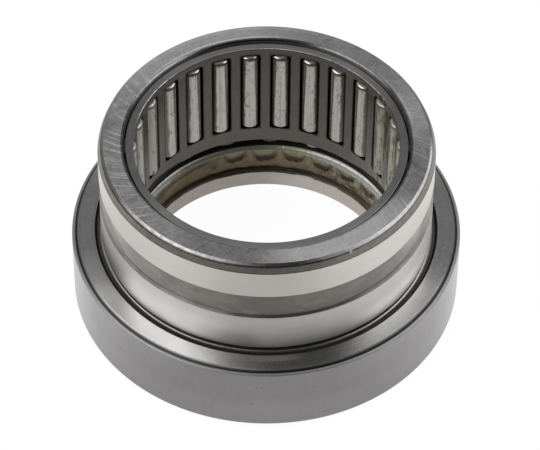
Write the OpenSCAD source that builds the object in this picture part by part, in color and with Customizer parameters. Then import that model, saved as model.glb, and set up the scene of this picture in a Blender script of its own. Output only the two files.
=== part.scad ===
// Combined bearing: a needle roller bearing and an axial ball bearing share one flanged ring,
// and a pressed steel cover holds the axial half together.
// The origin is on the bearing's axis, at the underside of the shaft washer. +Z runs up the axis.

/* [Main sizes] */
// Diameter of the shaft, which the needles and the shaft washer fit
shaft_d = 40; // [39.5:0.1:40.5]
// Outer diameter of the ring, which the housing bore takes
ring_d = 52; // [51.6:0.1:53]
// Outer diameter of the ring's flange
flange_d = 60; // [59.8:0.1:61]
// Height of the whole bearing
total_h = 32; // [31:0.5:34]
// Height of the axial half, from the shaft washer's underside to the flange's upper face
axial_h = 13; // [13:0.1:13.4]

/* [Needles] */
// Number of needles, with one window of the cage for each
needle_count = 27; // [20:1:27]
// Diameter of a needle
needle_d = 3.5; // [3.3:0.1:3.5]
// Length of a needle
needle_len = 15.8; // [14:0.1:15.8]
// Angle of the first needle, counted anticlockwise from +X
needle_phase = 4.18; // [0:0.01:13]

/* [Balls] */
// Number of balls in the axial half
ball_count = 20; // [16:1:20]
// Diameter of a ball
ball_d = 7.144; // [6.8:0.001:7.144]
// Angle of the first ball, counted anticlockwise from +X
ball_phase = 16.6; // [0:0.1:17]

/* [Ring details] */
// Width of the lubrication groove round the ring
groove_w = 4.9; // [3:0.1:5.5]
// Depth of the lubrication groove
groove_depth = 0.4; // [0.2:0.05:0.8]
// Diameter of the lubrication hole, which leads from the groove to the needles
oil_hole_d = 2.5; // [1:0.1:3]
// Height of the lead-in chamfer at the ring's upper end
lead_h = 1.6; // [0.8:0.1:2]
// Width of the lead-in chamfer, measured along the radius
lead_w = 0.95; // [0.5:0.05:1.2]

/* [Cages and cover] */
// Wall of the needle cage
needle_cage_wall = 1.27; // [1:0.01:1.3]
// Sheet of the pressed ball cage
ball_cage_sheet = 0.55; // [0.4:0.05:0.6]
// Sheet of the pressed cover
cover_sheet = 0.6; // [0.4:0.05:0.8]

/* [Hidden] */
$fn = 72;
ease = 0.01;

// Radii of the radial half
shaft_r = shaft_d / 2;
needle_r = needle_d / 2;
needle_circle_r = shaft_r + 0.02 + needle_r;
needle_race_r = needle_circle_r + needle_r + 0.04;
needle_cage_r0 = shaft_r + 0.46;
needle_cage_r1 = needle_cage_r0 + needle_cage_wall;
rib_bore_r = needle_cage_r1 + 0.27;
ring_r = ring_d / 2;

// Heights of the radial half
needle_mid_z = axial_h + 8.95;
needle_play = 0.4;
window_len = needle_len + 2 * needle_play;
race_len = window_len + 0.1;
race_z0 = needle_mid_z - race_len / 2;
race_z1 = needle_mid_z + race_len / 2;
relief = 0.2;
relief_len = 0.6;
rib_chamfer = 0.2;

// Break of the edge between the lead-in chamfer and the top face
lead_break = 0.5;

// Lubrication groove and hole
groove_mid_z = axial_h + 10;
groove_slope = 0.3;
oil_hole_angle = 97;

// Grinding undercut in the corner between the ring and its flange
undercut = 0.4;
undercut_h = 0.75;
undercut_w = 1;

// Flange and the two ball tracks
flange_r = flange_d / 2;
flange_t = 3.9;
flange_chamfer = 0.4;
flange_under_z = axial_h - flange_t;
flange_bore_chamfer = 0.35;
ball_r = ball_d / 2;
ball_circle_r = (shaft_d + flange_d) / 4;
ball_mid_z = axial_h / 2;
ball_play = 0.03;
track_r = 1.08 * ball_r;

// Needle cage
needle_cage_z0 = axial_h - 2.2;
needle_cage_z1 = total_h - 0.5;
pocket_play = 0.04;
pocket_w = needle_d + 2 * pocket_play;
lip_w = needle_d - 0.34;
lip_t = 0.3;
window_corner_r = 0.6;
cage_edge = 0.12;
needle_end_r = 0.5;

// Ball cage, a channel pressed from sheet and open below
ball_cage_gap = 0.13;
ball_cage_in = ball_circle_r - ball_r - ball_cage_gap;
ball_cage_out = ball_circle_r + ball_r + ball_cage_gap;
ball_cage_z1 = axial_h - 4.25;
ball_cage_z0 = ball_cage_z1 - 4.7;
ball_cage_bend = 1;
pocket_r = ball_r + 0.12;
stake_r = 0.4;
stake_z = ball_mid_z - 1.55;
stake_inset = 0.05;

// Shaft washer
washer_bore_r = shaft_r + 0.03;
washer_t = 3.85;
washer_r = flange_r - 0.6;
washer_foot_r = flange_r - 2;
washer_foot_h = 1.3;
washer_edge = 0.3;
washer_chamfer_low = 0.7;
washer_chamfer_high = 0.3;

// Cover
cover_r = flange_r + cover_sheet;
cover_z0 = 0.35;
cover_z1 = axial_h - 0.45;
cover_lip_r = washer_foot_r + 0.3;
cover_bend = 1;
cover_rim_r = 0.35;

// Colours
ground_steel = [0.66, 0.65, 0.63];
race_steel = [0.58, 0.57, 0.55];
needle_steel = [0.72, 0.70, 0.67];
cage_steel = [0.30, 0.30, 0.29];
pressed_steel = [0.48, 0.47, 0.44];
cover_steel = [0.55, 0.54, 0.52];

// Names of the nodes
function two_digits(n) = n < 10 ? str("0", n) : str(n);
function ball_name(n) = str("ball_", two_digits(n));
function needle_name(n) = str("needle_", two_digits(n));

// Angle of the nth of a circle's pieces
function ball_angle(n) = ball_phase + (n - 1) * 360 / ball_count;
function needle_angle(n) = needle_phase + (n - 1) * 360 / needle_count;

// Section of the flanged ring as radius and height, from the flange's bore round the outside
ring_outline = [
    [rib_bore_r + flange_bore_chamfer, flange_under_z],
    [flange_r, flange_under_z],
    [flange_r, axial_h - flange_chamfer],
    [flange_r - flange_chamfer, axial_h],
    [ring_r + undercut_w, axial_h],
    [ring_r + undercut_w - undercut, axial_h - undercut],
    [ring_r - undercut, axial_h - undercut],
    [ring_r - undercut, axial_h + undercut_h - undercut],
    [ring_r, axial_h + undercut_h],
    [ring_r, groove_mid_z - groove_w / 2],
    [ring_r - groove_depth, groove_mid_z - groove_w / 2 + groove_slope],
    [ring_r - groove_depth, groove_mid_z + groove_w / 2 - groove_slope],
    [ring_r, groove_mid_z + groove_w / 2],
    [ring_r, total_h - lead_h],
    [ring_r - lead_w + lead_break, total_h - lead_break],
    [ring_r - lead_w, total_h],
    [rib_bore_r + rib_chamfer, total_h],
    [rib_bore_r, total_h - rib_chamfer],
    [rib_bore_r, race_z1],
    [needle_race_r + relief, race_z1],
    [needle_race_r + relief, race_z1 - relief_len],
    [needle_race_r, race_z1 - relief_len - relief],
    [needle_race_r, race_z0 + relief_len + relief],
    [needle_race_r + relief, race_z0 + relief_len],
    [needle_race_r + relief, race_z0],
    [rib_bore_r, race_z0],
    [rib_bore_r, flange_under_z + flange_bore_chamfer]
];

// Section of the shaft washer, from the lower edge of its bore round the outside
washer_outline = [
    [washer_bore_r + washer_chamfer_low, 0],
    [washer_foot_r - washer_edge, 0],
    [washer_foot_r, washer_edge],
    [washer_foot_r, washer_foot_h],
    [washer_r - washer_edge, washer_foot_h],
    [washer_r, washer_foot_h + washer_edge],
    [washer_r, washer_t - washer_edge],
    [washer_r - washer_edge, washer_t],
    [washer_bore_r + washer_chamfer_high, washer_t],
    [washer_bore_r, washer_t - washer_chamfer_high],
    [washer_bore_r, washer_chamfer_low]
];

// Ring-shaped groove that the balls run in, with its centre at height z
module ball_track(z) {
    rotate_extrude()
        translate([ball_circle_r, z])
            circle(r = track_r);
}

// Outline with two rounded corners at the top, from x0 to x1 and from y0 to y1
module arch_outline(x0, x1, y0, y1, bend) {
    translate([x0, y0])
        square([x1 - x0, y1 - y0 - bend]);
    translate([x0 + bend, y0])
        square([x1 - x0 - 2 * bend, y1 - y0]);
    for (x = [x0 + bend, x1 - bend])
        translate([x, y1 - bend])
            circle(r = bend);
}

// Rectangle with round corners, centred
module round_window(width, height, corner_r) {
    square([width, height - 2 * corner_r], center = true);
    square([width - 2 * corner_r, height], center = true);
    for (x = [-1, 1], y = [-1, 1])
        translate([x * (width / 2 - corner_r), y * (height / 2 - corner_r)])
            circle(r = corner_r);
}

// Cutter of a cage window that runs outwards from radius r0 to r1
module window_cutter(width, r0, r1) {
    translate([r0, 0, needle_mid_z])
        rotate([90, 0, 90])
            linear_extrude(height = r1 - r0)
                round_window(width, window_len, window_corner_r);
}

// Hardened ring with the needles' track inside, the flange and the upper ball track
module outer_ring() {
    color(ground_steel)
        difference() {
            rotate_extrude()
                polygon(ring_outline);
            ball_track(ball_mid_z + ball_r + ball_play - track_r);
            rotate([0, 0, oil_hole_angle])
                translate([needle_race_r - 1, 0, groove_mid_z])
                    rotate([0, 90, 0])
                        cylinder(d = oil_hole_d, h = ring_r - needle_race_r + 2);
        }
}

// Washer that turns with the shaft and carries the lower ball track
module shaft_washer() {
    color(race_steel)
        difference() {
            rotate_extrude()
                polygon(washer_outline);
            ball_track(ball_mid_z - ball_r - ball_play + track_r);
        }
}

// Cap pressed from sheet: it grips the flange and its lip keeps the washer from falling out
module cover() {
    color(cover_steel)
        rotate_extrude()
            difference() {
                cover_outer_outline();
                cover_hollow_outline();
            }
}

// Outside of the cover's section: a round bend at the foot and a small round at the rim
module cover_outer_outline() {
    translate([cover_lip_r, cover_z0])
        square([cover_r - cover_lip_r - cover_bend, cover_z1 - cover_z0]);
    translate([cover_lip_r, cover_z0 + cover_bend])
        square([cover_r - cover_lip_r, cover_z1 - cover_z0 - cover_bend - cover_rim_r]);
    translate([cover_lip_r, cover_z1 - 2 * cover_rim_r])
        square([cover_r - cover_lip_r - cover_rim_r, 2 * cover_rim_r]);
    translate([cover_r - cover_bend, cover_z0 + cover_bend])
        circle(r = cover_bend);
    translate([cover_r - cover_rim_r, cover_z1 - cover_rim_r])
        circle(r = cover_rim_r);
}

// Inside of the cover's section, which leaves the sheet's thickness
module cover_hollow_outline() {
    inner_bend = cover_bend - cover_sheet;
    floor_z = cover_z0 + cover_sheet;
    translate([cover_lip_r - 1, floor_z])
        square([flange_r - inner_bend - cover_lip_r + 1, cover_z1]);
    translate([cover_lip_r - 1, floor_z + inner_bend])
        square([flange_r - cover_lip_r + 1, cover_z1]);
    translate([flange_r - inner_bend, floor_z + inner_bend])
        circle(r = inner_bend);
}

// Window cage: inner lips hold each needle, so that it can't drop into the bore
module needle_cage() {
    color(cage_steel)
        difference() {
            rotate_extrude()
                polygon(needle_cage_outline());
            for (n = [1:needle_count])
                rotate([0, 0, needle_angle(n)]) {
                    window_cutter(lip_w, needle_cage_r0 - 1, needle_cage_r0 + lip_t + ease);
                    window_cutter(pocket_w, needle_cage_r0 + lip_t, needle_cage_r1 + 1);
                }
        }
}

// Section of the needle cage's wall, with its four edges broken
function needle_cage_outline() = [
    [needle_cage_r0 + cage_edge, needle_cage_z0],
    [needle_cage_r1 - cage_edge, needle_cage_z0],
    [needle_cage_r1, needle_cage_z0 + cage_edge],
    [needle_cage_r1, needle_cage_z1 - cage_edge],
    [needle_cage_r1 - cage_edge, needle_cage_z1],
    [needle_cage_r0 + cage_edge, needle_cage_z1],
    [needle_cage_r0, needle_cage_z1 - cage_edge],
    [needle_cage_r0, needle_cage_z0 + cage_edge]
];

// Pressed cage: the web's round pockets sit over the balls, and stakes in both walls hook under them
module ball_cage() {
    color(pressed_steel) {
        difference() {
            rotate_extrude()
                difference() {
                    arch_outline(ball_cage_in - ball_cage_sheet, ball_cage_out + ball_cage_sheet,
                        ball_cage_z0, ball_cage_z1, ball_cage_bend);
                    arch_outline(ball_cage_in, ball_cage_out, ball_cage_z0 - 1,
                        ball_cage_z1 - ball_cage_sheet, ball_cage_bend - ball_cage_sheet);
                }
            for (n = [1:ball_count])
                rotate([0, 0, ball_angle(n)])
                    translate([ball_circle_r, 0, ball_mid_z])
                        sphere(r = pocket_r);
        }
        for (n = [1:ball_count])
            rotate([0, 0, ball_angle(n)])
                for (r = [ball_cage_in - stake_inset, ball_cage_out + stake_inset])
                    translate([r, 0, stake_z])
                        sphere(r = stake_r);
    }
}

// The nth ball of the axial half
module ball(n) {
    color(needle_steel)
        rotate([0, 0, ball_angle(n)])
            translate([ball_circle_r, 0, ball_mid_z])
                sphere(r = ball_r);
}

// The nth needle, with rounded ends
module needle(n) {
    color(needle_steel)
        rotate([0, 0, needle_angle(n)])
            translate([needle_circle_r, 0, needle_mid_z - needle_len / 2])
                rotate_extrude()
                    needle_outline();
}

// Half of a needle's section
module needle_outline() {
    square([needle_r - needle_end_r, needle_len]);
    translate([0, needle_end_r])
        square([needle_r, needle_len - 2 * needle_end_r]);
    for (y = [needle_end_r, needle_len - needle_end_r])
        translate([needle_r - needle_end_r, y])
            circle(r = needle_end_r);
}

outer_ring();
cover();
shaft_washer();
ball_cage();
needle_cage();
for (n = [1:ball_count])
    ball(n);
for (n = [1:needle_count])
    needle(n);
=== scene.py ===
"""The finish of a combined needle roller and axial ball bearing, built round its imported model.

Sizes of the bearing are in mm, those of the studio in metres.
"""

import functools
import math

import bmesh
import bpy
from mathutils import Matrix, Vector


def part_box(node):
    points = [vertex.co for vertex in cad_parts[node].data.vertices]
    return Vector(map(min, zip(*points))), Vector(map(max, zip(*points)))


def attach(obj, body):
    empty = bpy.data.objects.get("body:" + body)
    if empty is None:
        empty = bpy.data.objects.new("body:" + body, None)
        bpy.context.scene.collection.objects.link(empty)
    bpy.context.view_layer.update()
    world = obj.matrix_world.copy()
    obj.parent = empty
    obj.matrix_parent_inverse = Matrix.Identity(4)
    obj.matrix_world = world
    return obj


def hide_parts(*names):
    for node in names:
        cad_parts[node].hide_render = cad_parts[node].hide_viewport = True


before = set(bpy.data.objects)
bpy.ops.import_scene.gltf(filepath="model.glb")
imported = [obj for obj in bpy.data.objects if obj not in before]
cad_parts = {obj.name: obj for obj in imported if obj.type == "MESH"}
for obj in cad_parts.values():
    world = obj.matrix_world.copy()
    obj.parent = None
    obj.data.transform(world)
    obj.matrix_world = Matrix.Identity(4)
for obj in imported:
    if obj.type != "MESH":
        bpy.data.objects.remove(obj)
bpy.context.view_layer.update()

MM = 0.001


def span(node):
    """Radius, lowest and highest point of a node that is round about the axis, in mm."""
    low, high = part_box(node)
    return (high.x - low.x) / 2 / MM, low.z / MM, high.z / MM


def rollers(prefix):
    """The nodes of one row of rollers, in order."""
    return sorted(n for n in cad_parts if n.startswith(prefix) and not n.endswith("cage"))


def middle(node):
    """The centre of a node's box, in mm."""
    low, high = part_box(node)
    return (low + high) / 2 / MM


needles = rollers("needle_")
balls = rollers("ball_")

flange_r, flange_under, ring_top = span("outer_ring")
cover_r, cover_low, cover_top = span("cover")
washer_r, washer_low, washer_top = span("shaft_washer")
needle_cage_r1, needle_cage_z0, needle_cage_z1 = span("needle_cage")
ball_cage_r1, ball_cage_z0, ball_cage_z1 = span("ball_cage")
needle_mid = middle(needles[0])
needle_circle = needle_mid.xy.length
needle_low, needle_high = (p.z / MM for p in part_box(needles[0]))
NEEDLE_R = 1.75
needle_turn = math.atan2(needle_mid.y, needle_mid.x)
ball_mid = middle(balls[0])
ball_circle = ball_mid.xy.length
ball_z = ball_mid.z
# The balls' centres lie halfway up the axial half
flange_top = 2 * ball_z
BALL_R = 3.572
ball_turn = math.atan2(ball_mid.y, ball_mid.x)


# Outlines: corners as radius, height and how far each edge is rounded, all in mm

SUPPORT = 0.03
ARC_STEPS = 4
ARC_STEPS_PER_MM = 12


def soft_outline(*corners, closed=True):
    """A turned part's section, with every rounded corner an arc between two support points."""
    points = []
    count = len(corners)
    for i, (r, z, rounding) in enumerate(corners):
        here = Vector((r, z))
        if rounding == 0 or (not closed and i in (0, count - 1)):
            points.append(here)
            continue
        before = Vector(corners[i - 1][:2]) - here
        after = Vector(corners[(i + 1) % count][:2]) - here
        to_before = before.normalized()
        to_after = after.normalized()
        half = to_before.angle(to_after) / 2
        reach = rounding / math.tan(half)
        bisector = (to_before + to_after).normalized()
        centre = here + bisector * (rounding / math.sin(half))
        start = here + to_before * reach - centre
        end = here + to_after * reach - centre
        sweep = start.angle(end)
        steps = max(ARC_STEPS, round(rounding * ARC_STEPS_PER_MM))
        held = reach + SUPPORT
        if held < before.length / 2:
            points.append(here + to_before * held)
        for step in range(steps + 1):
            share = step / steps
            mix = start * math.sin((1 - share) * sweep) + end * math.sin(share * sweep)
            points.append(centre + mix.normalized() * rounding)
        if held < after.length / 2:
            points.append(here + to_after * held)
    return points


RIB_BORE = needle_cage_r1 + 0.27
NEEDLE_TRACK = needle_circle + NEEDLE_R + 0.04
RING_R = 26.0
EDGE = 0.06
TRACK_R = 1.08 * BALL_R
BALL_PLAY = 0.03


def arc(centre_r, centre_z, radius, start, end, steps):
    """Points of an arc in the section, by angle in degrees from outwards to upwards."""
    turns = [math.radians(start + (end - start) * i / steps) for i in range(steps + 1)]
    return [(centre_r + radius * math.cos(t), centre_z + radius * math.sin(t)) for t in turns]


def track(side, height):
    """Section of the ball track in the flat face above or below, from the bore side outwards."""
    centre_z = ball_z + side * (BALL_R + BALL_PLAY - TRACK_R)
    edge = math.degrees(math.acos(abs(height - centre_z) / TRACK_R))
    points = arc(ball_circle, centre_z, TRACK_R, side * (90 + edge), side * (90 - edge), 14)
    return [(r, z, 0) for r, z in points]


upper_track = track(1, flange_under)
lower_track = track(-1, washer_top)

LEAD_H = 1.6
LEAD_W = 0.95
LEAD_BREAK = 0.5
LEAD_LOW = ring_top - LEAD_H
BREAK_Z = ring_top - LEAD_BREAK
FACE_R = RING_R - LEAD_W
GROOVE_MID = flange_top + 10
GROOVE_HALF = 2.45
GROOVE_LOW = GROOVE_MID - GROOVE_HALF
GROOVE_HIGH = GROOVE_MID + GROOVE_HALF
GROOVE_DEPTH = 0.4
GROOVE_SLOPE = 0.3
UNDERCUT = 0.4
UNDERCUT_W = 1.0
UNDERCUT_H = 0.75
UNDERCUT_R = RING_R + UNDERCUT_W
NEEDLE_PLAY = 0.4
RIB_LOW = needle_low - NEEDLE_PLAY - 0.05
RIB_HIGH = needle_high + NEEDLE_PLAY + 0.05
RELIEF = 0.2
RELIEF_LEN = 0.6
RELIEF_R = NEEDLE_TRACK + RELIEF

ring_outline = soft_outline(
    (RIB_BORE + 0.35, flange_under, 0.03),
    *upper_track,
    (flange_r, flange_under, 0.1),
    (flange_r, flange_top - 0.4, 0.05),
    (flange_r - 0.4, flange_top, 0.06),
    (UNDERCUT_R, flange_top, 0.05),
    (UNDERCUT_R - UNDERCUT, flange_top - UNDERCUT, 0.1),
    (RING_R - UNDERCUT, flange_top - UNDERCUT, 0.42),
    (RING_R - UNDERCUT, flange_top + UNDERCUT_H - UNDERCUT, 0.05),
    (RING_R, flange_top + UNDERCUT_H, EDGE),
    (RING_R, GROOVE_LOW, 0.04),
    (RING_R - GROOVE_DEPTH, GROOVE_LOW + GROOVE_SLOPE, 0.06),
    (RING_R - GROOVE_DEPTH, GROOVE_HIGH - GROOVE_SLOPE, 0.06),
    (RING_R, GROOVE_HIGH, 0.04),
    (RING_R, LEAD_LOW, 0.1),
    (FACE_R + LEAD_BREAK, BREAK_Z, 0.35),
    (FACE_R, ring_top, 0.1),
    (RIB_BORE + 0.2, ring_top, 0.05),
    (RIB_BORE, ring_top - 0.2, 0.05),
    (RIB_BORE, RIB_HIGH, 0.04),
    (RELIEF_R, RIB_HIGH, 0.04),
    (RELIEF_R, RIB_HIGH - RELIEF_LEN, 0.04),
    (NEEDLE_TRACK, RIB_HIGH - RELIEF_LEN - RELIEF, 0.04),
    (NEEDLE_TRACK, RIB_LOW + RELIEF_LEN + RELIEF, 0.04),
    (RELIEF_R, RIB_LOW + RELIEF_LEN, 0.04),
    (RELIEF_R, RIB_LOW, 0.04),
    (RIB_BORE, RIB_LOW, 0.04),
    (RIB_BORE, flange_under + 0.35, 0.03),
)

WASHER_BORE = 20.03
WASHER_FOOT = 28.0
WASHER_FOOT_H = 1.3

washer_outline = soft_outline(
    (WASHER_BORE + 0.7, washer_low, 0.08),
    (WASHER_FOOT - 0.3, washer_low, 0.06),
    (WASHER_FOOT, washer_low + 0.3, 0.06),
    (WASHER_FOOT, WASHER_FOOT_H, 0.05),
    (washer_r - 0.3, WASHER_FOOT_H, 0.05),
    (washer_r, WASHER_FOOT_H + 0.3, 0.05),
    (washer_r, washer_top - 0.3, 0.05),
    (washer_r - 0.3, washer_top, 0.05),
    *reversed(lower_track),
    (WASHER_BORE + 0.3, washer_top, 0.06),
    (WASHER_BORE, washer_top - 0.3, 0.08),
    (WASHER_BORE, washer_low + 0.7, 0.08),
)

COVER_SHEET = 0.6
COVER_LIP = 28.3

cover_outline = soft_outline(
    (COVER_LIP, cover_low, 0.12),
    (cover_r, cover_low, 0.999),
    (cover_r, cover_top, 0.35),
    (cover_r - COVER_SHEET, cover_top, 0.08),
    (cover_r - COVER_SHEET, cover_low + COVER_SHEET, 0.4),
    (COVER_LIP, cover_low + COVER_SHEET, 0.12),
)

NEEDLE_END = 0.5
SHOULDER = needle_high - NEEDLE_END

needle_outline = soft_outline(
    (0, needle_low, 0),
    (NEEDLE_R, needle_low, NEEDLE_END),
    (NEEDLE_R, needle_high, NEEDLE_END),
    (0, needle_high, 0),
    closed=False,
)

BALL_STEPS = 28
ball_outline = [Vector(point) for point in arc(0, 0, BALL_R, -90, 90, BALL_STEPS)]


# Geometry Nodes trees, for turned parts and for what repeats round the axis


def add_node(tree, kind, sockets=None, settings=None):
    """One node of a tree, with the values or links of its sockets and its settings."""
    node = tree.nodes.new(kind)
    for key, value in (settings or {}).items():
        setattr(node, key, value)
    if isinstance(sockets, list):
        sockets = dict(enumerate(sockets))
    for key, value in (sockets or {}).items():
        value = getattr(value, "socket", value)
        if isinstance(value, bpy.types.NodeSocket):
            tree.links.new(value, node.inputs[key])
        else:
            node.inputs[key].default_value = value
    return node


def node_output(*node):
    """The first output of a new node."""
    return add_node(*node).outputs[0]


def new_tree(name, inputs):
    """A tree with one geometry in and out and the named inputs, and its inputs as sockets."""
    tree = bpy.data.node_groups.new(name, "GeometryNodeTree")
    tree.interface.new_socket("Geometry", in_out="INPUT", socket_type="NodeSocketGeometry")
    tree.interface.new_socket("Geometry", in_out="OUTPUT", socket_type="NodeSocketGeometry")
    for label, kind in inputs.items():
        tree.interface.new_socket(label, in_out="INPUT", socket_type="NodeSocket" + kind)
    return tree, tree.nodes.new("NodeGroupInput").outputs


SEAM = 0.002 * MM


def finish_tree(tree, given, geometry):
    """Ends a tree: real copies, merged seams, one material."""
    real = node_output(tree, "GeometryNodeRealizeInstances", [geometry])
    merging = {"Geometry": real, "Distance": SEAM}
    merged = node_output(tree, "GeometryNodeMergeByDistance", merging)
    coating = {"Geometry": merged, "Material": given["Material"]}
    coated = node_output(tree, "GeometryNodeSetMaterial", coating)
    add_node(tree, "NodeGroupOutput", [coated])
    return tree


def turned_tree():
    """Sweeps an outline once round a circle of the Turning Radius, in Segments steps."""
    inputs = {"Segments": "Int", "Turning Radius": "Float", "Material": "Material"}
    tree, given = new_tree("turned part", inputs)
    outline = node_output(tree, "GeometryNodeMeshToCurve", {"Mesh": given["Geometry"]})
    sizes = {"Resolution": given["Segments"], "Radius": given["Turning Radius"]}
    circle = node_output(tree, "GeometryNodeCurvePrimitiveCircle", sizes)
    upright = node_output(tree, "GeometryNodeSetCurveNormal", {"Curve": circle}, {"mode": "Z_UP"})
    curves = {"Curve": upright, "Profile Curve": outline}
    return finish_tree(tree, given, node_output(tree, "GeometryNodeCurveToMesh", curves))


def copies_tree():
    """Sets Count copies of a shape round the axis, by turning it about the origin."""
    inputs = {"Count": "Int", "First Angle": "Float", "Material": "Material"}
    tree, given = new_tree("copies round the axis", inputs)
    points = node_output(tree, "GeometryNodePoints", {"Count": given["Count"]})
    terms = [node_output(tree, "GeometryNodeInputIndex"), given["Count"]]
    share = node_output(tree, "ShaderNodeMath", terms, {"operation": "DIVIDE"})
    terms = [share, math.tau, given["First Angle"]]
    turn = node_output(tree, "ShaderNodeMath", terms, {"operation": "MULTIPLY_ADD"})
    about_z = node_output(tree, "ShaderNodeCombineXYZ", {"Z": turn})
    copies = {"Points": points, "Instance": given["Geometry"], "Rotation": about_z}
    copied = node_output(tree, "GeometryNodeInstanceOnPoints", copies)
    return finish_tree(tree, given, copied)


TURNED = turned_tree()
COPIES = copies_tree()


def to_mesh(form, name):
    """A form under construction as a mesh."""
    mesh = bpy.data.meshes.new(name)
    form.to_mesh(mesh)
    form.free()
    return mesh


def in_scene(name, data):
    """A new object of the scene."""
    made = bpy.data.objects.new(name, data)
    bpy.context.scene.collection.objects.link(made)
    return made


SHARP = math.radians(35)


def point_outwards(mesh):
    """Turns every face of a closed mesh outwards and shades it smooth up to its sharp edges."""
    form = bmesh.new()
    form.from_mesh(mesh)
    bmesh.ops.recalc_face_normals(form, faces=form.faces)
    if form.calc_volume(signed=True) < 0:
        bmesh.ops.reverse_faces(form, faces=form.faces)
    for face in form.faces:
        face.smooth = True
    form.to_mesh(mesh)
    form.free()
    mesh.set_sharp_from_angle(angle=SHARP)


def take_shape(piece):
    """Gives a piece what its modifiers make as a plain mesh, and ends them."""
    bpy.context.view_layer.update()
    graph = bpy.context.evaluated_depsgraph_get()
    made = bpy.data.meshes.new_from_object(piece.evaluated_get(graph))
    piece.modifiers.clear()
    piece.data = made
    made.name = piece.name
    point_outwards(made)


def grow(name, mesh, tree, values):
    """The plain piece that a tree makes of a mesh with the given inputs."""
    piece = in_scene(name, mesh)
    modifier = piece.modifiers.new("tree", "NODES")
    modifier.node_group = tree
    for item in tree.interface.items_tree:
        if item.name in values:
            modifier[item.identifier] = values[item.name]
    take_shape(piece)
    return piece


def reshape(piece, form, operation):
    """Cuts a piece with another closed form, or joins that form to it."""
    tool = in_scene("tool", to_mesh(form, "tool"))
    modifier = piece.modifiers.new("tool", "BOOLEAN")
    modifier.operation = operation
    modifier.solver = "EXACT"
    modifier.object = tool
    take_shape(piece)
    bpy.data.objects.remove(tool)


def turned(name, outline, finish, segments, closed=True):
    """A part of revolution about the axis from its outline in mm."""
    turning_r = max(p.x for p in outline) * MM
    mesh = bpy.data.meshes.new(name + "_outline")
    points = [(p.x * MM - turning_r, -p.y * MM, 0) for p in outline]
    edges = [(i, i + 1) for i in range(len(points) - 1)]
    if closed:
        edges.append((len(points) - 1, 0))
    mesh.from_pydata(points, edges, [])
    values = {"Segments": segments, "Turning Radius": turning_r, "Material": finish}
    return grow(name, mesh, TURNED, values)


# Cages: one sector with its window, then copies of it round the axis


def sector(rings, rims):
    """Bridges closed rings of (angle, r, z) points, and two sides by strips of (r, z) stations."""
    form = bmesh.new()

    def vertex(angle, r, z):
        return form.verts.new((r * MM * math.cos(angle), r * MM * math.sin(angle), z * MM))

    rows = [[vertex(*p) for p in ring] for ring in rings]
    size = len(rings[0])
    for low, high in zip(rows, rows[1:]):
        for i in range(size):
            j = (i + 1) % size
            form.faces.new((low[i], low[j], high[j], high[i]))
    for picks, stations in rims:
        strip = [[rows[0][i] for i in picks]]
        angles = [rings[0][i][0] for i in picks]
        for r, z in stations:
            strip.append([vertex(a, r, z) for a in angles])
        strip.append([rows[-1][i] for i in picks])
        for low, high in zip(strip, strip[1:]):
            for i in range(len(picks) - 1):
                form.faces.new((low[i], low[i + 1], high[i + 1], high[i]))
    return form


END_STEPS = 8
CORNER_STEPS = 6
SIDE_STEPS = 6
CORNERS = ((1, -1), (1, 1), (-1, 1), (-1, -1))


def run(loop, target, steps):
    """Adds the points between a loop's last one and a target, in even steps."""
    (sx, sy), (tx, ty) = loop[-1], target
    for step in range(1, steps):
        share = step / steps
        loop.append((sx + (tx - sx) * share, sy + (ty - sy) * share))


def window_loop(half_width, half_height, corner):
    """Points of a rounded window round its middle, anticlockwise from the lower right corner."""
    loop = []
    for i, (cx, cy) in enumerate(CORNERS):
        x = cx * (half_width - corner)
        y = cy * (half_height - corner)
        for step in range(CORNER_STEPS + 1):
            turn = math.radians(90 * (i - 1) + 90 * step / CORNER_STEPS)
            loop.append((x + corner * math.cos(turn), y + corner * math.sin(turn)))
        if cx == cy:
            run(loop, (-x, y + corner * cy), END_STEPS)
        else:
            run(loop, (x + corner * cx, -y), SIDE_STEPS)
    return loop


FLAT_SHARE = 0.72
UPRIGHT_SHARE = 0.06


def border_loop(half_width, low, high):
    """The sector's border, with a point for each point of a window loop."""
    loop = []
    for cx, cy in CORNERS:
        x, y = cx * half_width, high if cy > 0 else low
        first, last = (x * FLAT_SHARE, y), (x, y - cy * UPRIGHT_SHARE * (high - low))
        if cx == cy:
            first, last = last, first
        loop.append(first)
        run(loop, (x, y), CORNER_STEPS // 2)
        loop.append((x, y))
        run(loop, last, CORNER_STEPS // 2)
        loop.append(last)
        if cx == cy:
            run(loop, (-last[0], y), END_STEPS)
        else:
            run(loop, (x, low + high - last[1]), SIDE_STEPS)
    return loop


def edge_picks(loop, height):
    """Which points of a border loop lie on the side at that height, in order of angle."""
    found = [i for i, p in enumerate(loop) if abs(p[1] - height) < 1e-6]
    return sorted(found, key=lambda i: loop[i][0])


NEEDLE_CAGE_R0 = needle_circle - NEEDLE_R + 0.44
CAGE_EDGE = 0.12
EDGE_MID = 0.035
BEVEL = 0.07
BEVEL_MID = 0.3 * BEVEL
LIP_BREAK = 0.02
POCKET_BREAK = 0.01
LIP_T = 0.3
LIP_HALF = NEEDLE_R - 0.17
POCKET_HALF = NEEDLE_R + 0.04
WINDOW_HALF = (needle_high - needle_low) / 2 + NEEDLE_PLAY
WINDOW_CORNER = 0.6
WINDOW_MID = (needle_low + needle_high) / 2


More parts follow.
